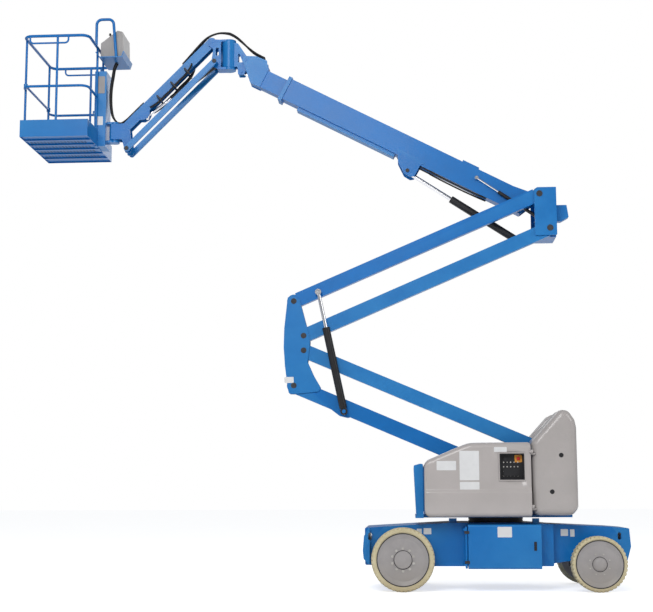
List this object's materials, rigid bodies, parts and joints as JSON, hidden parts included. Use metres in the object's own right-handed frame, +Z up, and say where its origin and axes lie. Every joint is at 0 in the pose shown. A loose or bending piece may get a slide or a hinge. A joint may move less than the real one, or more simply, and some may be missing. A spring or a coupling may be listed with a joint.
{
  "type": "articulating boom lift",
  "caption": "Self-propelled articulating boom lift: wheeled chassis, slewing turret, folding parallelogram riser, telescopic boom, swinging jib and levelled basket.",
  "frame": {"origin": "on the floor under the slew axis, midway between the axles", "axes": "+Z up, +X along the chassis towards the steered axle (the basket is at -X), +Y towards the side away from the riser ram"},
  "size_m": [6.5159, 1.5, 6.356],
  "materials": {
    "blue_paint": "gloss",
    "black_steel": "satin",
    "black_paint": "satin",
    "rod_chrome": "polished",
    "rim_grey": "satin",
    "tyre_cream": "matt",
    "cover_grey": "satin",
    "weight_grey": "painted satin",
    "unit_dark": "satin",
    "panel_dark": "matt",
    "panel_grey": "satin"
  },
  "bodies": {
    "chassis": {"chassis_frame": "blue_paint", "rear_axle": "black_steel", "front_axle": "blue_paint", "slew_bearing": "black_steel"},
    "rear_wheel_near": {"rear_tyre_near": "tyre_cream", "rear_rim_near": "rim_grey"},
    "rear_wheel_far": {"rear_tyre_far": "tyre_cream", "rear_rim_far": "rim_grey"},
    "knuckle_near": {"knuckle_near": "black_steel"},
    "knuckle_far": {"knuckle_far": "black_steel"},
    "tie_rod": {"tie_rod": "black_steel"},
    "front_wheel_near": {"front_tyre_near": "tyre_cream", "front_rim_near": "rim_grey"},
    "front_wheel_far": {"front_tyre_far": "tyre_cream", "front_rim_far": "rim_grey"},
    "battery_box_near": {"battery_box_near": "blue_paint"},
    "battery_box_far": {"battery_box_far": "blue_paint"},
    "turret": {"turret_frame": "blue_paint", "counterweight": "weight_grey", "front_panels": "blue_paint", "power_unit": "unit_dark"},
    "cover_near": {"cover_near": "cover_grey", "ground_controls": "panel_dark"},
    "cover_far": {"cover_far": "cover_grey"},
    "lower_arm": {"lower_arm": "blue_paint"},
    "lower_link": {"lower_link": "blue_paint"},
    "mid_upright": {"mid_upright": "blue_paint"},
    "upper_arm": {"upper_arm": "blue_paint"},
    "upper_link": {"upper_link": "blue_paint"},
    "top_upright": {"top_upright": "blue_paint"},
    "riser_barrel": {"riser_barrel": "black_paint"},
    "riser_rod": {"riser_rod": "rod_chrome"},
    "boom": {"boom": "blue_paint"},
    "boom_barrel": {"boom_barrel": "black_paint"},
    "boom_rod": {"boom_rod": "rod_chrome"},
    "level_barrel": {"level_barrel": "black_paint"},
    "level_rod": {"level_rod": "rod_chrome"},
    "extension": {"extension": "blue_paint"},
    "slave_barrel": {"slave_barrel": "black_paint"},
    "slave_rod": {"slave_rod": "rod_chrome"},
    "jib_base": {"jib_base": "blue_paint"},
    "jib_yoke": {"jib_yoke": "blue_paint"},
    "jib_arm": {"jib_arm": "blue_paint"},
    "jib_links": {"jib_links": "blue_paint"},
    "jib_barrel": {"jib_barrel": "black_paint"},
    "jib_rod": {"jib_rod": "rod_chrome"},
    "jib_end": {"jib_end": "blue_paint"},
    "platform": {"basket_floor": "blue_paint", "basket_column": "blue_paint", "basket_mount": "blue_paint", "basket_rails": "blue_paint", "control_box": "panel_grey"},
    "entry_bar": {"entry_bar": "blue_paint"}
  },
  "joints": [
    {"name": "rear_roll_near", "type": "hinge", "parent": "chassis", "child": "rear_wheel_near", "pos_m": [-0.99, -0.636, 0.324], "axis": [0, 1, 0], "continuous": true},
    {"name": "rear_roll_far", "type": "hinge", "parent": "chassis", "child": "rear_wheel_far", "pos_m": [-0.99, 0.636, 0.324], "axis": [0, 1, 0], "continuous": true},
    {"name": "steer", "type": "hinge", "parent": "chassis", "child": "knuckle_near", "pos_m": [0.99, -0.515, 0.28], "axis": [0, 0, 1], "range_deg": [-40, 40]},
    {"name": "steer_far", "type": "hinge", "parent": "chassis", "child": "knuckle_far", "pos_m": [0.99, 0.515, 0.28], "axis": [0, 0, 1], "range_deg": [-40, 40]},
    {"name": "tie_rod_turn", "type": "hinge", "parent": "knuckle_near", "child": "tie_rod", "pos_m": [0.84, -0.515, 0.21], "axis": [0, 0, 1], "range_deg": [-40, 40]},
    {"name": "front_roll_near", "type": "hinge", "parent": "knuckle_near", "child": "front_wheel_near", "pos_m": [0.99, -0.661, 0.28], "axis": [0, 1, 0], "continuous": true},
    {"name": "front_roll_far", "type": "hinge", "parent": "knuckle_far", "child": "front_wheel_far", "pos_m": [0.99, 0.661, 0.28], "axis": [0, 1, 0], "continuous": true},
    {"name": "battery_box_near_swing", "type": "hinge", "parent": "chassis", "child": "battery_box_near", "pos_m": [-0.346, -0.708, 0.45], "axis": [0, 0, -1], "range_deg": [0, 100]},
    {"name": "battery_box_far_swing", "type": "hinge", "parent": "chassis", "child": "battery_box_far", "pos_m": [-0.346, 0.708, 0.45], "axis": [0, 0, 1], "range_deg": [0, 100]},
    {"name": "turret_slew", "type": "hinge", "parent": "chassis", "child": "turret", "pos_m": [0, 0, 0.742], "axis": [0, 0, 1], "range_deg": [-177.5, 177.5]},
    {"name": "cover_near_swing", "type": "hinge", "parent": "turret", "child": "cover_near", "pos_m": [0.342, -0.704, 1.12], "axis": [0, 0, 1], "range_deg": [0, 90]},
    {"name": "cover_far_swing", "type": "hinge", "parent": "turret", "child": "cover_far", "pos_m": [0.342, 0.704, 1.12], "axis": [0, 0, -1], "range_deg": [0, 90]},
    {"name": "riser", "type": "hinge", "parent": "turret", "child": "lower_arm", "pos_m": [0.535, -0.186, 1], "axis": [0, 1, 0], "range_deg": [-22.8, 46]},
    {"name": "lower_link_turn", "type": "hinge", "parent": "turret", "child": "lower_link", "pos_m": [0.642, -0.186, 1.38], "axis": [0, 1, 0], "range_deg": [-22.8, 46]},
    {"name": "mid_upright_turn", "type": "hinge", "parent": "lower_arm", "child": "mid_upright", "pos_m": [-2.14887, -0.186, 2.15031], "axis": [0, 1, 0], "range_deg": [-46, 22.8]},
    {"name": "upper_arm_turn", "type": "hinge", "parent": "mid_upright", "child": "upper_arm", "pos_m": [-2.14887, -0.186, 3.07031], "axis": [0, 1, 0], "range_deg": [-46, 22.8]},
    {"name": "upper_link_turn", "type": "hinge", "parent": "mid_upright", "child": "upper_link", "pos_m": [-2.04188, -0.186, 2.69031], "axis": [0, 1, 0], "range_deg": [-46, 22.8]},
    {"name": "top_upright_turn", "type": "hinge", "parent": "upper_arm", "child": "top_upright", "pos_m": [0.535, -0.186, 4.22062], "axis": [0, 1, 0], "range_deg": [-22.8, 46]},
    {"name": "riser_barrel_turn", "type": "hinge", "parent": "lower_arm", "child": "riser_barrel", "pos_m": [-1.60488, -0.2895, 1.86231], "axis": [0, 1, 0], "range_deg": [-36, 18]},
    {"name": "riser_stroke", "type": "slide", "parent": "riser_barrel", "child": "riser_rod", "axis": [-0.2063, 0, 0.9785], "range_m": [-0.26, 0.52]},
    {"name": "boom_lift", "type": "hinge", "parent": "top_upright", "child": "boom", "pos_m": [0.535, 0, 4.22062], "axis": [0, 1, 0], "range_deg": [-27.2, 47.4]},
    {"name": "boom_barrel_turn", "type": "hinge", "parent": "top_upright", "child": "boom_barrel", "pos_m": [0.33, 0, 3.73062], "axis": [0, 1, 0], "range_deg": [-25, 43]},
    {"name": "boom_stroke", "type": "slide", "parent": "boom_barrel", "child": "boom_rod", "axis": [-0.8331, 0, 0.5531], "range_m": [-0.24, 0.41]},
    {"name": "level_barrel_turn", "type": "hinge", "parent": "top_upright", "child": "level_barrel", "pos_m": [0.56, -0.1045, 3.96062], "axis": [0, 1, 0], "range_deg": [-23, 38]},
    {"name": "level_stroke", "type": "slide", "parent": "level_barrel", "child": "level_rod", "axis": [-0.8226, 0, 0.5687], "range_m": [-0.09, 0.145]},
    {"name": "boom_reach", "type": "slide", "parent": "boom", "child": "extension", "axis": [-0.8862, 0, 0.4633], "range_m": [0, 1.12]},
    {"name": "jib_base_level", "type": "hinge", "parent": "extension", "child": "jib_base", "pos_m": [-2.70893, 0, 5.86799], "axis": [0, 1, 0], "range_deg": [-47.4, 27.2]},
    {"name": "slave_barrel_turn", "type": "hinge", "parent": "extension", "child": "slave_barrel", "pos_m": [-2.21369, 0, 5.47706], "axis": [0, 1, 0], "range_deg": [-3, 5]},
    {"name": "slave_stroke", "type": "slide", "parent": "slave_barrel", "child": "slave_rod", "axis": [-0.9017, 0, 0.4324], "range_m": [-0.115, 0.07]},
    {"name": "jib_swing", "type": "hinge", "parent": "jib_base", "child": "jib_yoke", "pos_m": [-2.908, 0, 5.943], "axis": [0, 0, 1], "range_deg": [-90, 90]},
    {"name": "jib_lift", "type": "hinge", "parent": "jib_yoke", "child": "jib_arm", "pos_m": [-3.105, 0, 6.095], "axis": [0, -1, 0], "range_deg": [-120.2, 18.8]},
    {"name": "jib_link_turn", "type": "hinge", "parent": "jib_yoke", "child": "jib_links", "pos_m": [-3.06, 0, 5.84], "axis": [0, -1, 0], "range_deg": [-120.2, 18.8]},
    {"name": "jib_end_level", "type": "hinge", "parent": "jib_arm", "child": "jib_end", "pos_m": [-4.09149, 0, 5.1016], "axis": [0, -1, 0], "range_deg": [-18.8, 120.2]},
    {"name": "jib_barrel_turn", "type": "hinge", "parent": "jib_yoke", "child": "jib_barrel", "pos_m": [-3.06, 0, 5.84], "axis": [0, -1, 0], "range_deg": [-115, 19]},
    {"name": "jib_stroke", "type": "slide", "parent": "jib_barrel", "child": "jib_rod", "axis": [-0.8012, 0, -0.5984], "range_m": [-0.08, 0.47]},
    {"name": "platform_swing", "type": "hinge", "parent": "jib_end", "child": "platform", "pos_m": [-4.215, 0, 5.063], "axis": [0, 0, 1], "range_deg": [-90, 90]},
    {"name": "entry_bar_lift", "type": "slide", "parent": "platform", "child": "entry_bar", "axis": [0, 0, 1], "range_m": [0, 0.44]}
  ],
  "couplings": [
    {"joint": "steer_far", "follows": "steer", "ratio": 1},
    {"joint": "tie_rod_turn", "follows": "steer", "ratio": -1},
    {"joint": "lower_link_turn", "follows": "riser", "ratio": 1},
    {"joint": "mid_upright_turn", "follows": "riser", "ratio": -1},
    {"joint": "upper_arm_turn", "follows": "riser", "ratio": -1},
    {"joint": "upper_link_turn", "follows": "riser", "ratio": -1},
    {"joint": "top_upright_turn", "follows": "riser", "ratio": 1},
    {"joint": "riser_barrel_turn", "follows": "riser", "ratio": -0.7559},
    {"joint": "riser_stroke", "follows": "riser", "m_per_rad": 0.6316},
    {"joint": "boom_barrel_turn", "follows": "boom_lift", "ratio": 0.888},
    {"joint": "boom_stroke", "follows": "boom_lift", "m_per_rad": 0.484},
    {"joint": "level_barrel_turn", "follows": "boom_lift", "ratio": 0.7781},
    {"joint": "level_stroke", "follows": "boom_lift", "m_per_rad": 0.1627},
    {"joint": "jib_base_level", "follows": "boom_lift", "ratio": -1},
    {"joint": "slave_barrel_turn", "follows": "boom_lift", "ratio": 0.0776},
    {"joint": "slave_stroke", "follows": "boom_lift", "m_per_rad": -0.12625},
    {"joint": "jib_link_turn", "follows": "jib_lift", "ratio": 1},
    {"joint": "jib_end_level", "follows": "jib_lift", "ratio": -1},
    {"joint": "jib_barrel_turn", "follows": "jib_lift", "ratio": 0.9393},
    {"joint": "jib_stroke", "follows": "jib_lift", "m_per_rad": -0.2033}
  ]
}
